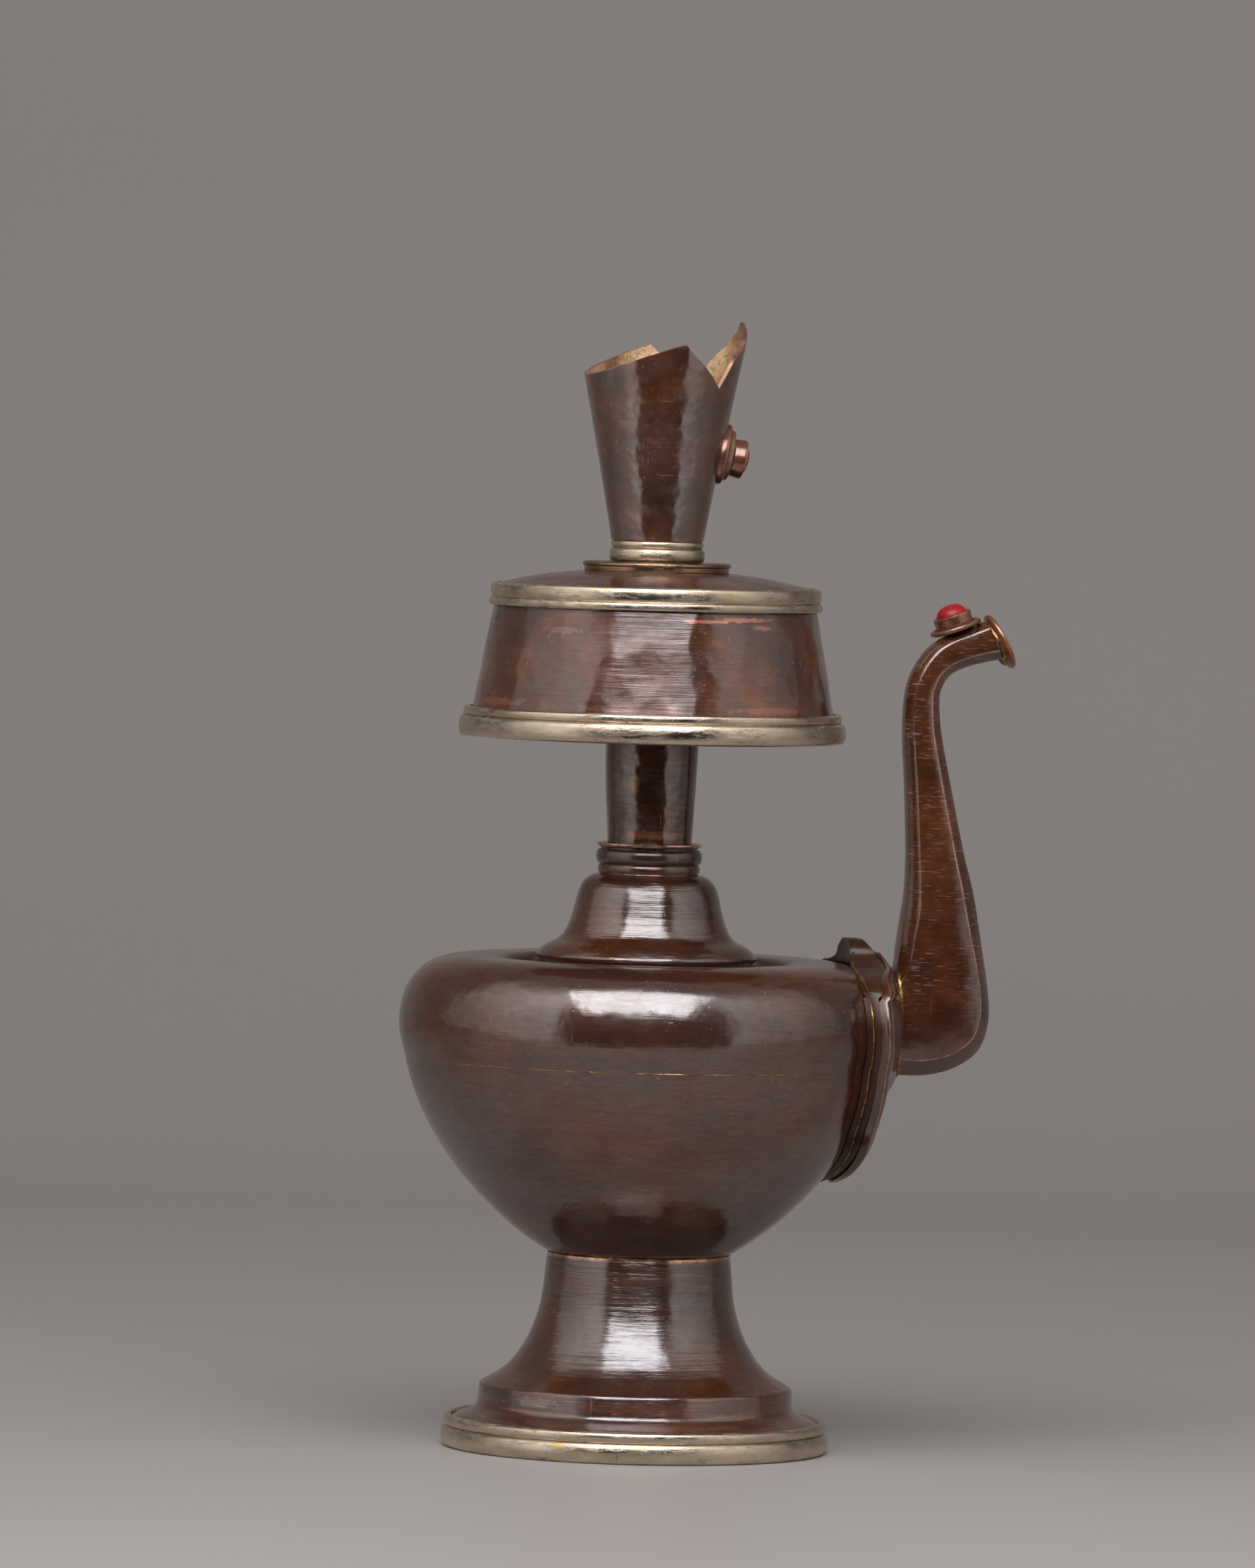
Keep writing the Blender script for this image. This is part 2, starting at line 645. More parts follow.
def copper_material(name, warm=0.5, plum=0.4, size=90.0, rough=0.12, lines=0.0, chatter=0.0, hammer=0.0,
                    filed=0.0, scuffs=0.4, rubbed=1.0, ripple=0.2, shade=1.0, coat=0.1, metal=0.05,
                    index=2.25, haze=0.35, streaks=0.4, worn=0.0, brushed=0.0, stains=()):
    """Copper under a brown patina. Depths of the marks are in millimetres."""
    colours = bpy.context.scene.vase_colours
    bare = tuple(colours.bare)
    made, w, shader, place = base_material(name)
    deep, thin, thick = (tuple(c * shade * (1 - worn) + b * worn for c, b in zip(patina, bare)) + (1,)
                         for patina in (colours.patina, colours.warm, colours.plum))
    mottle = w.effect("Mottled patina", Vector=place, Size=size, Warm_amount=warm, Plum_amount=plum,
                      Deep=deep, Warm=thin, Plum=thick)
    turning = w.effect("Turning lines", Vector=place)
    grain = w.ramp(turning.outputs["Height"], [(0.2, 0.8), (0.5, 1.25)])
    colour = w.mix(0.8, mottle.outputs["Color"], grain, "MULTIPLY")
    scuff = w.effect("Scuffs", Vector=place, Amount=scuffs)
    layers = [(w.noise(place, 80.0, 3, 0.6), ripple), (w.noise(place, 900.0, 4, 0.6), 0.008),
              (scuff.outputs["Height"], 0.02)]
    if lines:
        layers.append((turning.outputs["Height"], lines))
    if chatter:
        layers.append((turning.outputs["Chatter"], chatter))
    if hammer:
        layers.append((w.effect("Hammer marks", Vector=place).outputs["Height"], hammer))
    if filed:
        marks = w.effect("File marks", Vector=place)
        layers.append((marks.outputs["Height"], filed))
        colour = w.mix(w.times(marks.outputs["Mask"], 0.5), colour, GLINT)
    colour = stained(w, place, colour, stains)
    colour = w.mix(w.times(scuff.outputs["Mask"], 0.35), colour, bare)
    mark = w.add("Attribute", attribute_name="wear").outputs["Fac"]
    edge = w.effect("Rubbed edges", Vector=place, Mark=mark, Amount=rubbed).outputs[0]
    streak = w.noise(w.stretched(place, (0.2, 0.2, 1)), 1500.0, 3, 0.7)
    dull = w.plus(w.times(streak, streaks), w.times(mottle.outputs["Mask"], 1.0 - streaks))
    dull = w.times(w.rise(dull, 0.35, 0.65), haze)
    metallic = w.plus(w.times(edge, 1.0 - metal), metal, True)
    smear = w.ramp(w.noise(place, size * 2.2, 5, 0.65), [(0.3, rough * 0.7), (0.7, rough * 1.5)])
    w.fill(shader, Base_Color=w.mix(edge, colour, bare), Metallic=w.plus(metallic, dull, True),
           Roughness=smear, Coat_Weight=coat, Coat_Roughness=0.06, Coat_IOR=1.5, IOR=index,
           Anisotropic=brushed, Anisotropic_Rotation=0.25)
    bumped(w, shader, layers)
    return made


def white_metal_material(name="White metal", shade=(1, 1, 1), oxide=0.75):
    """Warm silver-coloured metal, worn smooth, with dark oxide in its pits and streaks round its axis."""
    made, w, shader, place = base_material(name)
    base = tuple(c * part for c, part in zip(bpy.context.scene.vase_colours.white_metal, shade))
    dark = tuple(c * 0.68 for c in base)
    bright = tuple(min(1, c * 1.15) for c in base)
    cloud = w.noise(w.stretched(place, (1, 1, 3)), 70.0, 5, 0.6)
    tone = w.ramp(cloud, [(0.3, dark), (0.55, base), (0.75, bright)])
    pits = w.rise(w.noise(w.stretched(place, (0.35, 0.35, 1.7)), 900.0, 6, 0.75), 0.5, 0.6)
    where = w.rise(w.noise(w.stretched(place, move=(0.1, 0.3, 0.2)), 75.0, 3), 0.44, 0.6)
    tarnish = w.times(pits, where)
    colour = stained(w, place, w.mix(w.times(tarnish, oxide), tone, OXIDE), RIM_SOLDER)
    w.fill(shader, Base_Color=colour, Metallic=w.plus(w.times(tarnish, -0.6), 1.0, True),
           Roughness=w.ramp(w.noise(place, 160.0, 5, 0.65), [(0.3, 0.17), (0.7, 0.36)]))
    scuff = w.effect("Scuffs", Vector=place, Amount=0.7)
    turning = w.effect("Turning lines", Vector=place)
    bumped(w, shader, [(w.noise(place, 110.0, 3, 0.5), 0.1), (pits, -0.01), (scuff.outputs["Height"], 0.02),
                       (turning.outputs["Height"], 0.06)])
    return made


def boss_metal_material():
    """The brown metal of the ring under the filling cup."""
    return white_metal_material("Brown metal", (0.55, 0.42, 0.34), 0.9)


def braze_material():
    """Gold-coloured braze, lumpy and a little burnt."""
    made, w, shader, place = base_material("Gold braze")
    burn = w.rise(w.noise(place, 350.0, 5, 0.65), 0.4, 0.62)
    gold = tuple(bpy.context.scene.vase_colours.braze)
    w.fill(shader, Base_Color=w.mix(burn, gold, (0.1, 0.045, 0.015)), Metallic=0.9,
           Roughness=w.ramp(burn, [(0.0, 0.24), (1.0, 0.5)]))
    bumped(w, shader, [(w.noise(place, 700.0, 4, 0.6), 0.15)])
    return made


def coral_material():
    """Opaque red stone with a wet polish."""
    made, w, shader, place = base_material("Red stone")
    vein = w.rise(w.noise(place, 260.0, 5, 0.6), 0.35, 0.7)
    red = tuple(bpy.context.scene.vase_colours.coral)
    w.fill(shader, Base_Color=w.mix(vein, tuple(c * 0.55 for c in red), red),
           Roughness=w.ramp(vein, [(0.0, 0.4), (1.0, 0.3)]), Coat_Weight=0.12, Coat_Roughness=0.06,
           Specular_IOR_Level=0.3, Subsurface_Weight=0.08, Subsurface_Scale=0.001)
    bumped(w, shader, [(w.noise(place, 420.0, 3), 0.03)])
    return made


def inside_material():
    """Inside of the cup: pale golden tan with dark specks."""
    made, w, shader, place = base_material("Cup inside")
    tone = w.ramp(w.noise(place, 120.0, 5, 0.65), [
        (0.34, (0.15, 0.06, 0.024)), (0.5, (0.4, 0.22, 0.11)), (0.66, (0.56, 0.37, 0.2))])
    speck = w.rise(w.noise(place, 700.0, 6, 0.8), 0.5, 0.62)
    w.fill(shader, Base_Color=w.mix(w.times(speck, 0.75), tone, (0.09, 0.04, 0.02)), Metallic=0.25,
           Roughness=w.ramp(speck, [(0.0, 0.36), (1.0, 0.6)]))
    bumped(w, shader, [(w.noise(place, 800.0, 5, 0.7), 0.05)])
    return made


# Colours of stains and worn places
GLINT = (0.55, 0.47, 0.46)
BARE = (0.46, 0.16, 0.09)
PINK = (0.62, 0.22, 0.12)
RUST = (0.13, 0.042, 0.012)
GREY = (0.2, 0.17, 0.16)
BLACK = (0.012, 0.008, 0.007)
GOLD = (0.62, 0.42, 0.12)
OXIDE = (0.11, 0.075, 0.05)

# Stains are (radius, turn, height), (width, tall), ragged, colour, amount
CANOPY_STAINS = [
    ((30.3, 33, 155.2), (6.5, 0.5), 0.9, PINK, 0.55), ((30.6, 19, 154.8), (5, 0.35), 0.9, PINK, 0.6),
    ((30.8, 40, 153.8), (2.5, 0.5), 0.9, BARE, 0.5), ((32.2, 39, 145.7), (3, 2.4), 0.9, RUST, 0.6),
    ((31.7, -24, 149), (1.6, 2.2), 0.9, RUST, 0.7), ((31.5, -33, 152.5), (5, 0.7), 0.9, BARE, 0.25),
    ((32.9, -43, 141.8), (1.2, 1.2), 0.4, (0.05, 0.05, 0.05), 0.6),
    ((33.2, -10, 138.6), (14, 0.7), 0.9, BARE, 0.15),
    ((33.3, 40, 138.6), (10, 0.7), 0.9, (0.3, 0.1, 0.05), 0.5),
    ((33.3, -60, 139.0), (9, 0.8), 0.9, (0.24, 0.08, 0.04), 0.5),
    ((31.8, 62, 148), (2, 5), 0.9, RUST, 0.5),
]
CUP_STAINS = [
    ((14.6, 7, 196.4), (0.4, 0.35), 0.15, BLACK, 0.9), ((14.4, 29, 196.6), (0.3, 0.4), 0.15, BLACK, 0.8),
    ((14.4, 4, 195), (2.0, 0.07), 0.1, PINK, 0.7), ((10.9, 47.6, 177.9), (0.5, 0.9), 0.4, BARE, 0.9),
    ((13.2, -59, 190), (0.35, 13), 0.3, RUST, 0.85),
    ((9.8, -30, 173), (3.5, 3), 0.9, (0.15, 0.045, 0.02), 0.6),
    ((13.6, -40, 190), (1.6, 6), 0.9, (0.12, 0.03, 0.03), 0.7),
    ((12, 30, 184), (2.2, 5), 0.9, (0.1, 0.03, 0.03), 0.6),
]
FOOT_STAINS = [
    ((29.2, -39, 9.9), (5.2, 1.2), 0.9, GREY, 0.45),
    ((29.3, -45, 8.2), (7, 0.35), 0.6, (0.3, 0.08, 0.04), 0.5),
    ((29.3, 42, 8.3), (6.5, 0.7), 0.9, (0.2, 0.07, 0.022), 0.4),
    ((17.3, -3, 33), (6, 1.2), 0.9, BARE, 0.08), ((17.3, 45, 31), (2.2, 0.7), 0.8, RUST, 0.6),
    ((18.3, -57, 27), (0.25, 9), 0.3, GREY, 0.4),
    ((29.2, 0, 9.6), (13, 1.5), 0.9, (0.2, 0.06, 0.022), 0.3), ((32.5, 10, 6.4), (14, 0.5), 0.9, RUST, 0.6),
]
TUBE_STAINS = [
    ((8.6, -22, 124), (1.2, 1.6), 0.9, (0.3, 0.13, 0.03), 0.7), ((8.7, -8, 128), (2.4, 3), 0.9, RUST, 0.7),
    ((8.0, 0, 114.5), (7, 0.9), 0.9, (0.3, 0.1, 0.04), 0.7), ((8.6, 20, 122), (2.4, 3.4), 0.9, RUST, 0.6),
    ((8.7, 38, 126), (0.8, 5), 0.9, (0.1, 0.05, 0.02), 0.7),
]
RIM_SOLDER = [
    ((30.85, -17, 160.4), (1.2, 0.5), 0.8, GOLD, 0.8), ((30.85, 26, 159.3), (0.7, 0.8), 0.7, GOLD, 0.9),
    ((30.85, 34, 160.1), (0.6, 0.4), 0.7, GOLD, 0.7),
    ((30.85, 58, 159.9), (1.4, 0.6), 0.8, (0.4, 0.25, 0.08), 0.8),
    ((36.05, -23, 3.1), (1.6, 0.6), 0.9, GOLD, 0.7), ((36.05, -24, 0.5), (1.0, 0.4), 0.8, GOLD, 0.7),
    ((36.05, -4.8, 1.2), (0.2, 1.4), 0.4, (0.3, 0.2, 0.05), 0.9), ((36.05, 2, 3), (2.2, 0.6), 0.9, GOLD, 0.4),
]

COPPERS = {
    "Brown copper": dict(warm=0.6, plum=0.8, size=34.0, rough=0.16, lines=0.04, scuffs=0.5, ripple=0.3,
                         haze=0.6, streaks=0.3, index=2.3, shade=1.25),
    "Turned copper": dict(warm=0.45, plum=0.6, size=60.0, rough=0.17, lines=0.25, chatter=0.05, scuffs=0.35,
                          ripple=0.1, brushed=0.6, stains=FOOT_STAINS),
    "Collar copper": dict(warm=0.6, plum=0.5, rough=0.2, lines=0.08, scuffs=0.35, index=1.9),
    "Tube copper": dict(warm=0.8, rough=0.18, lines=0.06, ripple=0.7, haze=0.7, brushed=0.7, shade=1.35,
                        stains=TUBE_STAINS),
    "Hammered copper": dict(warm=0.7, plum=0.75, size=80.0, rough=0.2, hammer=0.32, lines=0.1, scuffs=0.45,
                            brushed=0.75, index=2.0, shade=1.3, stains=CANOPY_STAINS),
    "Cup copper": dict(warm=0.75, plum=0.7, size=110.0, rough=0.18, hammer=0.05, lines=0.02, scuffs=0.5,
                       ripple=0.7, haze=0.42, streaks=0.1, brushed=0.5, index=2.65, shade=1.2,
                       stains=CUP_STAINS),
    "Filed copper": dict(warm=0.75, plum=0.1, size=60.0, rough=0.14, filed=0.03, scuffs=0.2, index=2.0,
                         shade=1.2),
    "Shield copper": dict(warm=0.4, plum=0.3, size=80.0, rough=0.2, scuffs=0.3, ripple=0.1, index=2.0),
    "Wall copper": dict(warm=0.4, plum=0.1, size=80.0, rough=0.34, scuffs=0.3, ripple=0.1, index=1.45,
                        metal=0.0, haze=0.0, coat=0.0, shade=0.6),
    "Rubbed copper": dict(warm=0.9, plum=0.1, size=150.0, rough=0.24, metal=0.3, worn=0.04, scuffs=0.5,
                          rubbed=0.7, shade=2.2),
    "Cut copper": dict(warm=0.8, plum=0.1, size=150.0, rough=0.3, metal=0.8, worn=0.85, scuffs=0.5),
}
OTHERS = {"White metal": white_metal_material, "Brown metal": boss_metal_material,
          "Gold braze": braze_material, "Red stone": coral_material, "Cup inside": inside_material}


def material(key):
    """The finish of that name, made the first time that it is asked for."""
    found = bpy.data.materials.get(key)
    if found:
        return found
    return copper_material(key, **COPPERS[key]) if key in COPPERS else OTHERS[key]()


# Pieces


class VASE_OT_foot(bpy.types.Operator):
    """Spun foot, its white metal rim and the braze under the bowl"""

    bl_idname = "vase.foot"
    bl_label = "Foot"

    def execute(self, context):
        flange = bezier([(34.15, 5.35), (32.4, 6.35), (30.2, 6.7), (29.5, 7.75)], 8)
        step_foot = bezier([(29.5, 7.75), (29.35, 8.0), (29.3, 8.4), (29.28, 8.8)], 3)
        step_top = bezier([(29.15, 11.2), (29.1, 11.75), (28.9, 11.95), (28.55, 12.05)], 4)
        flare = bezier([(28.55, 12.05), (24.3, 14.6), (23.4, 15.0), (20.5, 20)], 16)
        outline = joined([(33.9, 0.5), (33.9, 4.9), (34.05, 5.25)], flange, step_foot, step_top, flare,
                         bezier(FOOT_STEM, 18))
        sheet = context.scene.vase_sizes.sheet / MM
        turned_piece("spun_foot", walled(outline, sheet), "Turned copper", ["foot"], sharp=0.3)
        rim = joined([(34.3, 0.2), (34.45, 0.05), (35.25, 0.05)], bead(35.25, 36.08, 0.07, 3.8, 12),
                     bead(35.15, 35.62, 3.86, 5.75, 10), [(34.9, 5.9), (34.45, 5.88), (34.3, 5.7)])
        metal_ring("foot_rim_ring", rim, "foot_rim", (16, 0.12))
        brazed("foot_joint_braze", ring_points(16.8, FOOT_JOINT), THIN_BEAD * MM, (2.5, 0.16))
        return {"FINISHED"}


class VASE_OT_body(bpy.types.Operator):
    """Bowl and shoulder with the well round the neck, and the thin brazed line on the belly"""

    bl_idname = "vase.body"
    bl_label = "Body"

    def execute(self, context):
        sizes = context.scene.vase_sizes
        base = [(0, FOOT_JOINT), (8, FOOT_JOINT), (15.6, FOOT_JOINT)]
        well_edge = bezier([(31, 91.38), (28.2, 91.35), (26.9, 91.2), (26.55, 90.2)], 10)
        well_foot = bezier([(26.5, 89.2), (26.5, 88.3), (26.3, 87.95), (25.4, 87.92)], 6)
        outside = joined(base, bezier(BOWL_SWEEP, 36), bezier(BELLY_SWEEP, 8), bezier(SHOULDER_SWEEP, 26),
                         well_edge, well_foot, [(13, 87.9)])
        turned_piece("raised_body", walled(outside, BODY_WALL), "Brown copper", ["bowl", "shoulder"],
                     sides=sizes.sides + EXTRA_SIDES, axis_ends=True, sharp=0.5)
        brazed("belly_seam_braze", ring_points(44.3, 72.4, 160), sizes.seam_bead, (5, 0.12))
        return {"FINISHED"}


class VASE_OT_neck(bpy.types.Operator):
    """Seat ring, bell, beaded collar and rolled tube"""

    bl_idname = "vase.neck"
    bl_label = "Neck"

    def execute(self, context):
        seat = joined([(13.1, 87.92)], bezier([(17.7, 87.92), (18, 87.95), (18, 88.65), (17.7, 88.68)], 5),
                      [(13.1, 88.68)])
        turned_piece("bell_seat_ring", seat, "Turned copper", ["neck_seat_ring"])
        outside = joined([(17.1, 88.72), (17.45, 88.75), (17.75, 89.05)],
                         bezier([(20.2, 91.2), (20.6, 91.55), (20.6, 91.95), (20.25, 92.3)], 6),
                         bezier(BELL_FLARE, 24), bezier(BELL_DOME, 14), [(7.9, 107.1)])
        inside = [(7.1, 107.1), (7.1, 106.2), (9.5, 106), (11.4, 104.9), (12.1, 102.6), (12.6, 99.5),
                  (13.9, 96.7), (16.2, 93.4), (16.2, 88.72)]
        turned_piece("neck_bell_dome", outside + inside, "Turned copper", ["neck_bell"], sharp=0.3)
        beads = joined([(7.1, 107.12), (9.15, 107.12)], bead(9.12, 9.5, 107.2, 108.8, 6),
                       bead(9.12, 9.86, 108.9, 111.7, 12),
                       [(9.05, 111.75), (9.05, 112.0), (9.6, 112.25), (9.72, 112.5), (9.68, 112.78),
                        (9.3, 112.8), (8.2, 112.3), (8.15, 108.7), (7.1, 108.7)])
        turned_piece("neck_collar_beads", beads, "Collar copper", ["neck_collar"], sharp=0.3)
        swell = bezier([(7.85, 113), (7.95, 117), (8.5, 124), (8.62, 131)], 14)
        run = joined([(7.8, 108.7)], swell, [(8.7, 148), (8.7, 165.0)])
        turned_piece("neck_tube_roll", walled(run, TUBE_WALL), "Tube copper", ["neck_tube"], sides=96,
                     wave=(9, 0.22))
        return {"FINISHED"}


class VASE_OT_canopy(bpy.types.Operator):
    """Hammered canopy between two white metal rims, its domed top and boss ring"""

    bl_idname = "vase.canopy"
    bl_label = "Canopy"

    def execute(self, context):
        slope = [(34.5 - 5.05 * i / 24, 132.5 + 27.1 * i / 24) for i in range(25)]
        turned_piece("canopy_hammered_wall", walled(slope, 1.0), "Hammered copper", ["canopy_wall"],
                     sides=context.scene.vase_sizes.sides + EXTRA_SIDES, wave=(11, 0.3))
        lower = joined([(34.75, 132.3), (35.0, 132.12)], bead(35.1, 35.98, 132.14, 135.95, 12),
                       bead(34.85, 35.2, 136.02, 137.5, 9), [(34.6, 137.6), (34.0, 137.62)])
        metal_ring("canopy_lower_ring", lower, "canopy_lower_rim", (26, 0.34))
        upper = joined([(30.55, 156.5), (30.7, 156.52)], bead(30.7, 31.02, 156.55, 157.95, 8),
                       bezier([(30.45, 158.0), (30.85, 158.3), (30.85, 160.1), (30.5, 160.5)], 9),
                       [(30.3, 160.72), (29.9, 160.78), (29.8, 160.6)])
        metal_ring("canopy_upper_ring", upper, "canopy_upper_rim", (26, 0.26))
        dome = joined([(29.6, 160.2)], bezier([(29.6, 160.45), (25, 161.9), (19, 162.9), (13.6, 163.28)], 14),
                      [(9.05, 163.3)])
        turned_piece("canopy_domed_top", walled(dome, 0.9), "Hammered copper", ["canopy_top"])
        boss = joined([(9.05, 163.32), (13.35, 163.32), (13.4, 163.5), (13.38, 164.1)],
                      bead(13.38, 13.75, 164.2, 165.0, 7), [(13.1, 165.08), (9.05, 165.05)])
        metal_ring("canopy_boss_band", boss, "canopy_boss_ring", (10, 0.15), "Brown metal")
        return {"FINISHED"}


def cup_radius(height):
    """Outer radius of the filling cup, which widens to its rim and curls in a little there."""
    share = max(0.0, (height - CUP_FOOT) / CUP_TALL)
    curl = max(0.0, (share - 0.88) / 0.12) ** 2
    return CUP_FOOT_RADIUS + CUP_SPREAD * share ** 1.05 - 1.0 * curl


class VASE_OT_cup(bpy.types.Operator):
    """Filling cup rolled from sheet, its rim cut into petals, and the beaded ring under it"""

    bl_idname = "vase.cup"
    bl_label = "Filling cup"

    # Corners of the rim, from the spout's side: degrees round, height
    rim = [(0, 210.0), (10, 208.3), (20, 206.9), (28, 205.0), (38, 202.9), (44, 200.6), (52, 197.6),
           (86, 205.5), (180, 199.7)]
    columns = 180
    rows = 40

    def rim_height(self, degrees):
        """The rim runs straight from corner to corner, and in one curve on the side away from the spout."""
        turn = abs(degrees)
        for (start, low), (end, high) in zip(self.rim, self.rim[1:]):
            if turn <= end:
                share = (turn - start) / (end - start)
                if end == 180:
                    share = math.sin(share * math.pi / 2) ** 1.1
                return low + (high - low) * share
        return self.rim[-1][1]

    def point(self, column, row, inset):
        """A point of the sheet. The last two rows are close together, for the cut edge."""
        degrees = column * 360 / self.columns
        degrees = degrees - 360 if degrees > 180 else degrees
        share = 1.0 if row == self.rows else 0.99 * row / (self.rows - 1)
        height = CUP_FOOT + (self.rim_height(degrees) - CUP_FOOT) * share
        turn = math.radians(degrees)
        out_of_round = 0.12 * math.sin(3 * turn + 0.6) * (row / self.rows)
        radius = cup_radius(height) - inset + out_of_round
        return AXIS_MM + radius * math.cos(turn), radius * math.sin(turn), height

    def wall(self, inset):
        return [[self.point(column, row, inset) for column in range(self.columns)]
                for row in range(self.rows + 1)]

    def execute(self, context):
        beads = joined([(7.9, 165.12), (8.45, 165.12)], bead(8.35, 8.9, 165.2, 167.6, 10),
                       bead(8.25, 8.62, 167.7, 169.0, 7), [(8.2, 169.1), (7.9, 169.1)])
        metal_ring("cup_beaded_ring", beads, "cup_collar", (9, 0.12), sides=96)
        inner = self.wall(context.scene.vase_sizes.cup_sheet / MM)
        plain = [[0] * self.columns] * self.rows
        worn = [[1] * self.columns] * 2
        cup = skinned("filling_cup_roll", self.wall(0) + inner[::-1], plain + worn + plain)
        for finish in ("Cup copper", "Cup inside", "Cut copper"):
            cup.data.materials.append(material(finish))
        for polygon in cup.data.polygons:
            out = Vector((polygon.center.x - AXIS, polygon.center.y, 0))
            facing = polygon.normal.dot(out.normalized())
            polygon.material_index = 1 if facing < -0.5 else (0 if facing > 0.5 else 2)
        finished(cup, "Cup copper", ["filling_cup"])
        return {"FINISHED"}


# The body's outer radius at each quarter millimetre, upright above the rolled shoulder
SHOULDER_TOP = 90.83
LEVELS = [z / 4 for z in range(148, 370)]
PROFILE = np.array(joined([(0, 36.4)], bezier(BOWL_SWEEP, 24), bezier(BELLY_SWEEP, 6),
                          bezier(SHOULDER_SWEEP, 24)))
RADII = np.interp(np.minimum(LEVELS, SHOULDER_TOP), PROFILE[:, 1], PROFILE[:, 0])

# Heights and radii of the slope that the shield's outer layers follow up to the tongue's tip
TONGUE_HEIGHTS = (86, 88, 91, 93, 95.9)
TONGUE_RADII = (44.8, 44.5, 43.3, 41.7, 39.2)


def body_radius(height):
    return float(np.interp(height, LEVELS, RADII))


def shield_seat(height):
    """Radius the shield's outer layers stand on: the body's, and above the shoulder the tongue's slope."""
    if height < TONGUE_HEIGHTS[0]:
        return body_radius(height)
    return max(body_radius(height), float(np.interp(height, TONGUE_HEIGHTS, TONGUE_RADII)))


def eased(share):
    """A share held between 0 and 1 that starts and ends softly."""
    share = min(1.0, max(0.0, share))
    return share * share * (3 - 2 * share)


def slimmed(height):
    """How much of the shield's thickness is left at a height: its tongue thins towards the tip."""
    return 1 - 0.55 * eased((height - 86.5) / 5.0)


def shield_edge(count, top):
    """Points round the shield's outline: arc length round the belly, and height."""
    out = []
    for i in range(count):
        turn = 2 * i / count
        across, up = curve_through(SHIELD_SIDE, turn if turn <= 1 else 2 - turn)
        side = 1 if turn <= 1 else -1
        out.append((side * across * SHIELD_SPREAD * BELLY, min(SHIELD_FOOT + SHIELD_TALL * up, top)))
    return out


def root_ring(edge, half_width, half_height, squareness):
    """A rounded ring round the spout's root, with a point in the direction of each point of the edge."""
    out = []
    for x, z in edge:
        way = Vector((x, z - ROOT_HEIGHT)).normalized()
        size = abs(way.x / half_width) ** squareness + abs(way.y / half_height) ** squareness
        size = size ** (-1 / squareness)
        out.append((way.x * size, ROOT_HEIGHT + way.y * size))
    return out


def on_body(inner, edge, share, stand_off, seat=body_radius):
    """A ring between two outlines, laid on the body. Share and stand-off may differ round the ring."""
    shares = share if isinstance(share, list) else [share] * len(edge)
    offs = stand_off if isinstance(stand_off, list) else [stand_off] * len(edge)
    out = []
    for (x0, z0), (x1, z1), part, off in zip(inner, edge, shares, offs):
        height = z0 + (z1 - z0) * part
        radius = seat(height) + off * slimmed(height)
        turn = (x0 + (x1 - x0) * part) / BELLY
        out.append((AXIS_MM + radius * math.cos(turn), radius * math.sin(turn), height))
    return out


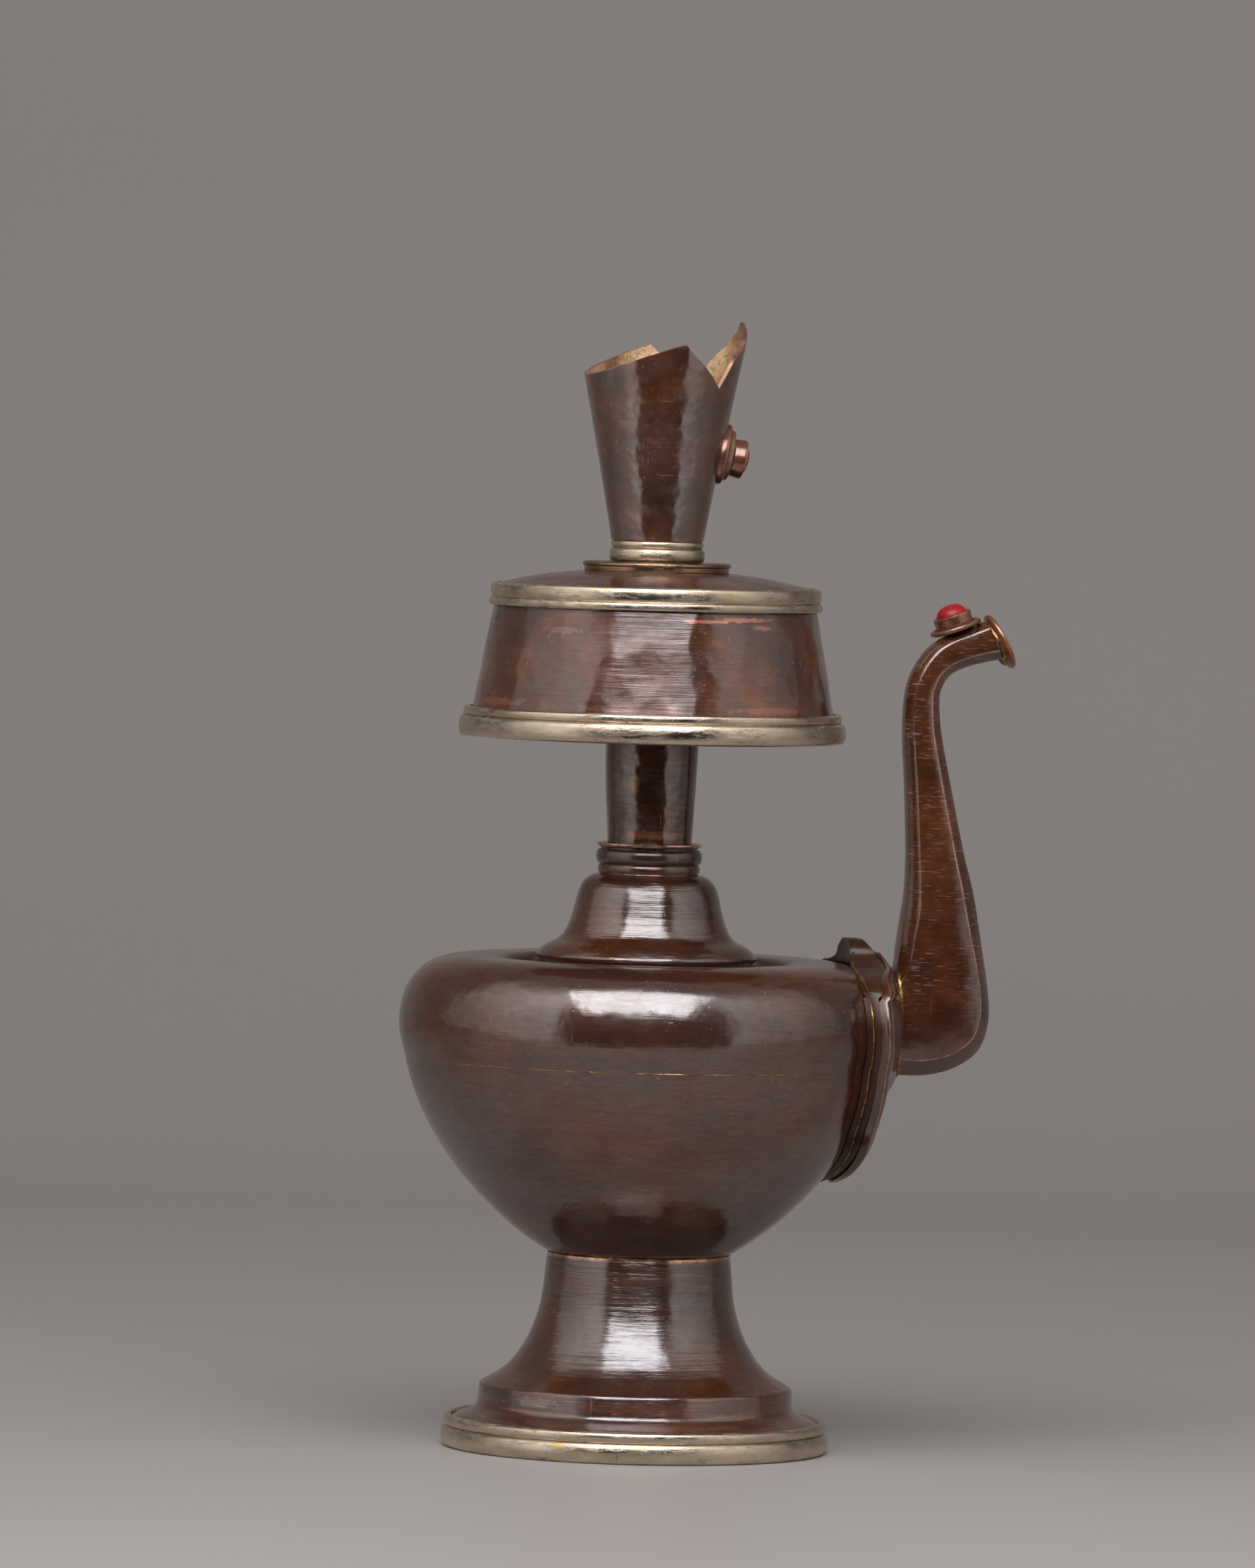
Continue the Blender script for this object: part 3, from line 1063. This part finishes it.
class VASE_OT_shield(bpy.types.Operator):
    """Leaf-shaped shield in three layers, with the braze between them"""

    bl_idname = "vase.shield"
    bl_label = "Shield"

    count = 160
    # Distance of the spout's flat root from the axis, and the stand-off of the dished field
    plane = 47.3
    field = 2.3
    # Tops of the three layers
    plate_top = 86.2
    band_top = 95.9
    leaf_top = 93.4

    # Stand-off of the shield's front from the field to the edge, and how far it is rubbed bright
    rim = [(0.76, -0.02, 0), (0.8, 0.15, 0), (0.83, 0.55, 0), (0.86, 1.15, 0), (0.885, 1.75, 0),
           (0.905, 2.2, 0.2), (0.92, 2.4, 1), (0.932, 2.28, 0.2), (0.945, 2.16, 0), (0.96, 2.14, 0),
           (0.972, 2.2, 0), (0.983, 2.34, 0.2), (0.992, 2.5, 1), (0.998, 2.42, 0.4), (1.0, 2.2, 0),
           (1.0, 1.5, 0), (1.0, 0.85, 0)]

    def outlines(self, top):
        """The edge up to a height, and a small ring round the spout's root."""
        edge = shield_edge(self.count, top)
        return root_ring(edge, 4.5, 4.5, 2), edge

    def back_plate(self):
        inner, edge = self.outlines(self.plate_top)
        shares = [i / 18 for i in range(19)]
        under = [on_body(inner, edge, share, 0.15) for share in shares]
        over = [on_body(inner, edge, share, 1.25) for share in shares]
        plate = skinned("shield_back_plate", under + over[::-1])
        finished(plate, "Wall copper", ["spout_back_plate"])

    def edge_band(self):
        """The band is wider at the tongue, where it also reaches down to the body."""
        inner, edge = self.outlines(self.band_top)
        tongue = [min(1.0, max(0.0, (z - 89) / 4)) for _, z in edge]
        rows = [[0.87 + 0.115 * i / 8 - 0.34 * (1 - i / 8) * t for t in tongue] for i in range(9)]
        feet = [1.3 - 1.2 * min(1.0, max(0.0, z - 85.6)) for _, z in edge]
        under = [on_body(inner, edge, row, feet) for row in rows]
        over = [on_body(inner, edge, row, 2.95, shield_seat) for row in rows]
        band = skinned("shield_edge_band", under + over[::-1])
        softened(band, 0.15)
        finished(band, "Wall copper", ["spout_band"])

    def leaf(self, height):
        """From the spout's root out over the dished field and the rim, and back underneath."""
        inner, edge = self.outlines(self.leaf_top)
        root = root_ring(edge, 5.5, 9.5, 4)
        front = AXIS_MM + self.plane
        rise = height - self.field
        rows = [[(front, x, z) for x, z in ring] for ring in (inner, root)]
        for i in range(1, 22):
            flow = eased(i / 9)
            ring = on_body(root, edge, i / 30, self.field, shield_seat)
            rows.append([(front * (1 - flow) + x * flow, y, z) for x, y, z in ring])
        marks = [0] * len(rows)
        for share, stand_off, rubbed in self.rim:
            rows.append(on_body(root, edge, share, self.field + stand_off * rise / 2.5, shield_seat))
            marks.append(rubbed)
        under = [(share, 3.2) for share in (0.97, 0.92, 0.87)] + [(i / 10, 1.5) for i in range(8, -1, -1)]
        for share, stand_off in under:
            rows.append(on_body(inner, edge, share, stand_off, shield_seat))
            marks.append(0)
        shield = skinned("leaf_shield", rows, [[mark] * self.count for mark in marks])
        finished(shield, "Shield copper", ["spout_shield"], smooth=50)
        line = [(x - AXIS_MM, y, z) for x, y, z in on_body(inner, edge, 0.992, 1.35)]
        brazed("shield_joint_braze", line, THIN_BEAD * MM, (2.2, 0.26))

    def execute(self, context):
        sizes = context.scene.vase_sizes
        self.back_plate()
        self.edge_band()
        self.leaf(sizes.shield_rim / MM)
        ring = [(47.5, x, z) for x, z in root_ring(shield_edge(96, 96), 5.45, 9.5, 4)]
        brazed("spout_root_braze", ring, 0.75 * sizes.root_bead, (4, 0.4))
        return {"FINISHED"}


class VASE_OT_spout(bpy.types.Operator):
    """Faceted spout, hollow from root to nozzle, and the flared lip on its end"""

    bl_idname = "vase.spout"
    bl_label = "Spout"

    steps_between = 7
    # How far each corner of the section is rounded, along its sides
    soft = 0.28
    # Ridges on the side of the near guide line are rubbed less
    ridge_marks = [0.38, 0.38, 0.8, 0.8, 0.8, 0.8, 0.38, 0.38]

    def section(self, t, wall):
        """A ring at a share of the way: eight soft corners with a flat or slightly crowned side between."""
        near = curve_through(SPOUT_NEAR, t)
        far = curve_through(SPOUT_FAR, t)
        way = Vector((far[0] - near[0], far[1] - near[1]))
        width = way.length
        way.normalize()
        depth = curve_through(SPOUT_HALF, t)[0] - wall
        corners = [(wall, 0.4 * depth), (wall + 0.38 * depth, depth), (width - wall - 0.56 * depth, depth),
                   (width - wall, 0.4 * depth)]
        corners = [Vector(corner) for corner in corners + [(a, -b) for a, b in reversed(corners)]]
        ring = []
        for k, corner in enumerate(corners):
            after = corners[(k + 1) % 8]
            to_before = corners[k - 1] - corner
            to_after = after - corner
            a = corner + to_before.normalized() * min(self.soft, to_before.length * 0.3)
            b = corner + to_after.normalized() * min(self.soft, to_after.length * 0.3)
            side = (corner + after) / 2
            if wall == 0:
                side += Vector((to_after.y, -to_after.x)).normalized() * -0.1
            ring += [a, (a + b) * 0.3 + corner * 0.4, b, side]
        return [(AXIS_MM + near[0] + way.x * p.x, p.y, near[1] + way.y * p.x) for p in ring]

    def execute(self, context):
        steps = (len(SPOUT_NEAR) - 1) * self.steps_between
        outer = [self.section(i / steps, 0.0) for i in range(steps + 1)]
        inner = [self.section(i / steps, SPOUT_WALL) for i in range(steps + 1)]
        worn = [mark for ridge in self.ridge_marks for mark in (0, ridge, 0, 0)]
        marks = [worn] * len(outer) + [[0] * len(worn)] * len(inner)
        spout = skinned("faceted_spout", outer + inner[::-1], marks)
        finished(spout, "Filed copper", ["spout"], smooth=26)

        near = Vector(SPOUT_NEAR[-1])
        far = Vector(SPOUT_FAR[-1])
        up = (near - far).normalized()
        out = Vector((up.y, -up.x))
        centre = (near + far) / 2 + out * 0.3 - up * 0.9
        outline = joined([(2.3, 0.0), (4.3, 0.0), (4.6, 0.25), (5.1, 0.5)], bead(5.15, 5.53, 0.55, 1.45, 8),
                         [(4.9, 1.4), (4.3, 1.2), (3.4, 1.05), (2.5, 0.85), (2.3, 0.7)])
        lip = turned("nozzle_lip", outline, 72)
        mark_edges(lip, 0.3)
        lean(lip, out, centre)
        finished(lip, "Rubbed copper", ["spout_lip"])
        brazed("nozzle_braze", ring_points(4.1, 0.1, 60), 0.42 * MM, (3, 0.3), (out, centre))
        return {"FINISHED"}


class VASE_OT_settings(bpy.types.Operator):
    """The two stone settings, on the cup and on the nozzle"""

    bl_idname = "vase.settings"
    bl_label = "Stone settings"

    count = 96
    plate_height = 185.3
    # About the cup's radius where the plate lies on it
    bend = 11.7
    # Rings of the plate, as distances inside its edge and above the cup
    tiers = [(0.2, -0.15), (0.0, 0.25), (0.0, 0.7), (0.18, 1.0), (0.5, 1.12), (0.85, 1.1), (0.95, 1.25),
             (1.0, 1.6), (1.15, 1.88), (1.45, 2.0), (2.0, 2.0), (2.6, 2.0)]
    # Where the stone on the nozzle stands, as a share of the way along the spout
    along_spout = 0.918

    def bezel(self, name, height, out, centre, node):
        wall = bezier([(3.45, 0.15), (3.5, 1.0), (3.62, height - 1.0), (3.65, height - 0.25)], 6)
        outline = joined([(0, 0), (3.35, 0)], wall,
                         [(3.6, height - 0.05), (3.4, height + 0.02), (3.18, height - 0.1),
                          (3.12, height - 0.4), (3.12, 0.5), (0, 0.5)])
        ring = turned(name, outline, 72, axis_ends=True)
        mark_edges(ring, 0.3)
        lean(ring, out, centre)
        finished(ring, "Rubbed copper", [node])

    def stone(self, name, height, rise, out, centre, node):
        r = bpy.context.scene.vase_sizes.stone_radius / MM
        top = height + rise
        dome = bezier([(r - 0.02, height - 0.5), (r, height + rise * 0.55), (r * 0.62, top), (0, top)], 16)
        gem = turned(name, joined([(0, 0.55), (r - 0.12, 0.55)], dome), 64, axis_ends=True)
        lean(gem, out, centre)
        finished(gem, "Red stone", [node], 60)

    def leaf(self, inset, i):
        """A point of the plate's pointed outline, moved in by the inset: across and along."""
        turn = TAU * i / self.count
        point = max(0.0, math.cos(turn)) ** 3
        return (math.sin(turn) * (4.3 - inset) * (1 - 0.35 * point),
                math.cos(turn) * (5.9 - inset) * (0.92 + 0.08 * point))

    def leaf_ring(self, out, foot, inset, rise, hug):
        """A ring of the plate at a rise, of which a share follows the cup's round."""
        along = Vector((-out.y, out.x))
        ring = []
        for i in range(self.count):
            across, up = self.leaf(inset, i)
            place = foot + out * (rise - across * across / (2 * self.bend) * hug) + along * up
            ring.append((AXIS_MM + place.x, across, place.y))
        return ring

    def plate(self, out, foot):
        """Two pointed tiers lying on the cup's cone, skinned ring by ring."""
        over = [self.leaf_ring(out, foot, inset, rise, max(0.0, 1 - rise / 2)) for inset, rise in self.tiers]
        under = [self.leaf_ring(out, foot, 0.2 + 2.4 * (1 - share), -0.1, 1) for share in (0.0, 0.35, 0.7)]
        plate = skinned("cup_setting_tiers", over + under)
        mark_edges(plate, 0.25)
        finished(plate, "Rubbed copper", ["cup_setting_plate"], smooth=40)

    def execute(self, context):
        slope = math.atan2(CUP_SPREAD, CUP_TALL)
        out = Vector((math.cos(slope), -math.sin(slope)))
        foot = Vector((cup_radius(self.plate_height), self.plate_height))
        self.plate(out, foot)
        seat = foot + out * 2.0
        self.bezel("cup_bezel_ring", 2.4, out, seat, "cup_bezel")
        self.stone("cup_red_stone", 2.4, 0.9, out, seat, "cup_stone")

        before, near, after = (Vector(curve_through(SPOUT_NEAR, self.along_spout + step))
                               for step in (-0.01, 0, 0.01))
        along = (after - before).normalized()
        out = Vector((-along.y, along.x))
        seat = near + out * 0.3
        self.bezel("spout_bezel_ring", 3.0, out, seat, "spout_bezel")
        self.stone("spout_red_stone", 3.0, 1.9, out, seat, "spout_stone")
        loop = wire("spout_setting_wire", ring_points(4.45, 0.5, 72), 0.5 * MM, 2)
        lean(loop, out, seat)
        finished(loop, "Rubbed copper", ["spout_setting_ring"], smooth=60)
        return {"FINISHED"}


class VASE_OT_stage(bpy.types.Operator):
    """Pale sweep, soft lamp, room light and the camera"""

    bl_idname = "vase.stage"
    bl_label = "Stage"

    # The paper's run away from the vase: its ends, the bend up at its back and half its width, in metres
    paper_front = -0.31
    paper_back = 0.62
    paper_bend = 0.42
    paper_top = 3.2
    paper_half = 4.0

    # Light of the room by turn from the camera's side to behind the sweep, from left to right, by height
    room_turn = [(0.215, 0.015), (0.24, 0.9), (0.33, 0.85), (0.42, 0.66), (0.52, 0.48), (0.64, 0.28),
                 (0.72, 0.1), (0.84, 0.08), (0.88, 0.24)]
    room_across = [(0.25, 0.92), (0.6, 0.7)]
    room_height = [(0.45, 0.55), (0.6, 0.62), (0.8, 1.0)]
    room_gain = 2.03
    ceiling = (0.2, 0.2, 0.2)
    backdrop = (0.2, 0.183, 0.174)

    lamp_aim = 0.09
    lamp_distance = 0.95
    lamp_wide = 0.88
    lamp_tall = 0.71
    lamp_elevation = math.radians(47)
    lamp_side = math.radians(-4)
    lamp_colour = (0.97, 0.985, 1.03)

    view_height = 0.1237
    view_aside = 0.00437

    def paper(self, floor):
        """Grey paper with dust. It doesn't show from behind or below, so the vase can be seen from there."""
        paper = bpy.data.materials.new("Grey paper")
        paper.use_nodes = True
        w = Wiring(paper.node_tree)
        shader = paper.node_tree.nodes["Principled BSDF"]
        coords = w.add("TexCoord").outputs["Object"]
        dust = w.rise(w.noise(coords, 900.0, 3, 0.6), 0.7, 0.76)
        tone = w.ramp(w.noise(coords, 2.5, 2), [(0.3, tuple(c * 0.97 for c in floor)),
                                                (0.7, tuple(c * 1.03 for c in floor))])
        w.fill(shader, Base_Color=w.mix(w.times(dust, 0.25), tone, (0.2, 0.19, 0.18)), Roughness=0.5,
               Specular_IOR_Level=0.3)
        behind = w.add("NewGeometry").outputs["Backfacing"]
        shown = w.add("MixShader", behind, shader.outputs[0], w.add("BsdfTransparent").outputs[0])
        w.join(shown.outputs[0], paper.node_tree.nodes["Material Output"].inputs["Surface"])
        return paper

    def sweep(self, stage, across, away):
        points = [(self.paper_front, 0.0), (0.1, 0.0), (self.paper_back, 0.0)]
        for degrees in range(6, 91, 6):
            turn = math.radians(degrees)
            depth = self.paper_back + self.paper_bend * math.sin(turn)
            points.append((depth, self.paper_bend * (1 - math.cos(turn))))
        points.append((self.paper_back + self.paper_bend, self.paper_top))
        clear_selection()
        bpy.ops.mesh.primitive_grid_add(x_subdivisions=1, y_subdivisions=len(points) - 1, size=1)
        obj = bpy.context.object
        obj.name = obj.data.name = "paper_sweep"
        for vertex in obj.data.vertices:
            depth, height = points[round((vertex.co.y + 0.5) * (len(points) - 1))]
            side = self.paper_half if vertex.co.x > 0 else -self.paper_half
            vertex.co = Vector((AXIS, 0, 0)) + across * side + away * depth + Vector((0, 0, height))
        bpy.ops.object.shade_smooth()
        obj.data.materials.append(self.paper(stage.floor))

    def room(self, stage):
        """World light: a grey room that is dark behind the camera and dim behind the sweep."""
        world = bpy.data.worlds.new("Studio room")
        bpy.context.scene.world = world
        world.use_nodes = True
        w = Wiring(world.node_tree)
        seen_way = w.add("TexCoord").outputs["Generated"]
        turned_way = w.add("VectorRotate", rotation_type="Z_AXIS", Vector=seen_way, Angle=-stage.turn)
        way = w.add("SeparateXYZ", turned_way.outputs[0]).outputs
        turn = w.maths("ABSOLUTE", w.maths("ARCTAN2", way[0], w.times(way[1], -1.0)))
        across = w.plus(w.times(way[0], 0.5), 0.5)
        height = w.plus(w.times(way[2], 0.5), 0.5)
        wall = w.ramp(w.maths("DIVIDE", turn, math.pi), self.room_turn)
        wall = w.times(wall, w.ramp(across, self.room_across))
        wall = w.times(w.times(wall, w.ramp(height, self.room_height)), self.room_gain)
        level = w.mix(w.rise(height, 0.87, 0.96), wall, self.ceiling)
        warm = w.mix(1.0, level, (1.0, 0.985, 0.97), "MULTIPLY")
        seen = w.mix(w.add("LightPath").outputs["Is Camera Ray"], warm, self.backdrop)
        w.fill(world.node_tree.nodes["Background"], Color=seen, Strength=stage.room)

    def softbox(self, context, across, away):
        aim = Vector((AXIS, 0, self.lamp_aim))
        lamp = bpy.data.lights.new("Softbox", "AREA")
        lamp.shape = "RECTANGLE"
        lamp.size = self.lamp_wide
        lamp.size_y = self.lamp_tall
        lamp.energy = context.scene.vase_stage.softbox
        lamp.color = self.lamp_colour
        box = bpy.data.objects.new("Softbox", lamp)
        context.collection.objects.link(box)
        level = across * math.sin(self.lamp_side) - away * math.cos(self.lamp_side)
        up = Vector((0, 0, math.sin(self.lamp_elevation)))
        box.location = aim + (level * math.cos(self.lamp_elevation) + up) * self.lamp_distance
        box.rotation_euler = (aim - box.location).to_track_quat("-Z", "Y").to_euler()

    def camera(self, context, across, away):
        stage = context.scene.vase_stage
        lens = bpy.data.cameras.new("Camera")
        lens.sensor_width = 36
        lens.lens = stage.lens
        lens.clip_start = 0.05
        lens.clip_end = 30
        camera = bpy.data.objects.new("Camera", lens)
        context.collection.objects.link(camera)
        camera.location = Vector((AXIS, 0, 0)) - away * stage.distance + Vector((0, 0, stage.height))
        target = Vector((AXIS, 0, self.view_height)) - across * self.view_aside
        forward = (target - camera.location).normalized()
        level = forward.cross(Vector((0, 0, 1))).normalized()
        upright = level.cross(forward)
        right = level * math.cos(stage.roll) + upright * math.sin(stage.roll)
        up = upright * math.cos(stage.roll) - level * math.sin(stage.roll)
        camera.rotation_euler = Matrix((right, up, -forward)).transposed().to_euler()
        context.scene.camera = camera

    def execute(self, context):
        stage = context.scene.vase_stage
        away = Vector((-math.sin(stage.turn), math.cos(stage.turn), 0))
        across = Vector((math.cos(stage.turn), math.sin(stage.turn), 0))
        self.sweep(stage, across, away)
        self.room(stage)
        clear_selection()
        self.softbox(context, across, away)
        self.camera(context, across, away)
        context.scene.view_settings.view_transform = "Standard"
        return {"FINISHED"}


class VASE_PT_panel(bpy.types.Panel):
    """Buttons that make each group of pieces"""

    bl_idname = "VASE_PT_panel"
    bl_label = "Copper ritual vase"
    bl_space_type = "VIEW_3D"
    bl_region_type = "UI"
    bl_category = "Vase"

    def draw(self, context):
        layout = self.layout
        for group in (context.scene.vase_sizes, context.scene.vase_colours, context.scene.vase_stage):
            box = layout.box()
            for name in type(group).__annotations__:
                box.prop(group, name)
        for operator in OPERATORS:
            layout.operator(operator.bl_idname)


OPERATORS = (VASE_OT_foot, VASE_OT_body, VASE_OT_neck, VASE_OT_canopy, VASE_OT_cup, VASE_OT_shield,
             VASE_OT_spout, VASE_OT_settings, VASE_OT_stage)
CLASSES = (VaseSizes, VaseColours, StageSettings, *OPERATORS, VASE_PT_panel)


def register():
    for item in CLASSES:
        bpy.utils.register_class(item)
    bpy.types.Scene.vase_sizes = bpy.props.PointerProperty(type=VaseSizes)
    bpy.types.Scene.vase_colours = bpy.props.PointerProperty(type=VaseColours)
    bpy.types.Scene.vase_stage = bpy.props.PointerProperty(type=StageSettings)


def unregister():
    for name in ("vase_stage", "vase_colours", "vase_sizes"):
        delattr(bpy.types.Scene, name)
    for item in reversed(CLASSES):
        bpy.utils.unregister_class(item)


def main():
    register()
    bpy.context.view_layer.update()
    for operator in OPERATORS:
        space, name = operator.bl_idname.split(".")
        getattr(getattr(bpy.ops, space), name)()


if __name__ == "__main__":
    main()
